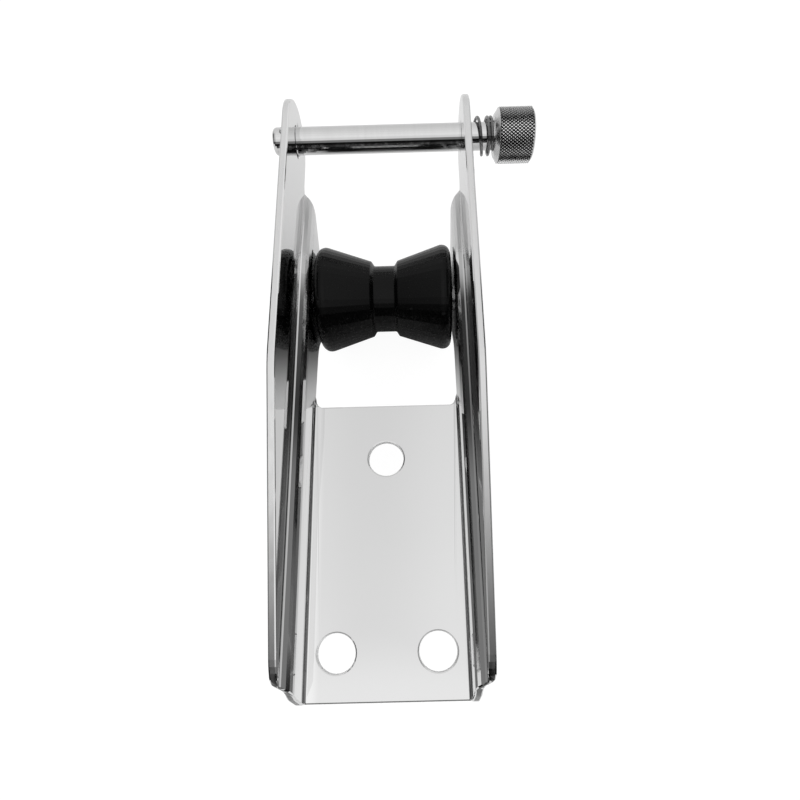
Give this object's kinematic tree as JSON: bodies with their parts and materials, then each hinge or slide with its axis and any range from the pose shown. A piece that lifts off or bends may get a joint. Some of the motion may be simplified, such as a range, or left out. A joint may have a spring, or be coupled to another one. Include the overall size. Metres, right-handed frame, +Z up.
{
  "type": "bow roller with lock pin",
  "caption": "Folded stainless bow roller: flat screw-down base, two stepped cheeks, black hourglass roller and a spring-loaded lock pin with a knurled knob.",
  "frame": {"origin": "middle of the base plate's underside, the face that lies on the deck", "axes": "+X across, from the pin's nose to the knob; +Y forward over the bow; +Z up, away from the deck"},
  "size_m": [0.083, 0.1773, 0.0557],
  "materials": {
    "polished_stainless": "mirror-polished stainless steel sheet with brushed, rounded edges",
    "fastener_steel": "plain bright stainless fastener",
    "knurled_steel": "turned and diamond-knurled stainless",
    "spring_steel": "drawn stainless spring wire",
    "black_rubber": "smooth black moulded rubber with a soft sheen",
    "nylon": "natural white nylon"
  },
  "bodies": {
    "bracket": {"bracket": "polished_stainless", "axle_bolt": "fastener_steel", "axle_nut": "fastener_steel", "nut_insert": "nylon", "nut_washer": "fastener_steel", "roller_sleeve": "fastener_steel"},
    "roller": {"roller": "black_rubber"},
    "spring": {"lock_spring": "spring_steel"},
    "lock_pin": {"lock_pin": "polished_stainless", "cross_pin": "polished_stainless", "knob": "knurled_steel"}
  },
  "joints": [
    {"name": "roller_spin", "type": "hinge", "parent": "bracket", "child": "roller", "pos_m": [0, 0.0824, -0.0012], "axis": [1, 0, 0], "continuous": true},
    {"name": "pin_twist", "type": "hinge", "parent": "bracket", "child": "spring", "pos_m": [0, 0.1234, 0.0259], "axis": [1, 0, 0], "continuous": true},
    {"name": "pin_push", "type": "slide", "parent": "spring", "child": "lock_pin", "axis": [1, 0, 0], "range_m": [-0.0025, 0], "stiffness_N_per_m": 2500, "springref_m": 0.003, "deforming": ["lock_spring"]}
  ]
}
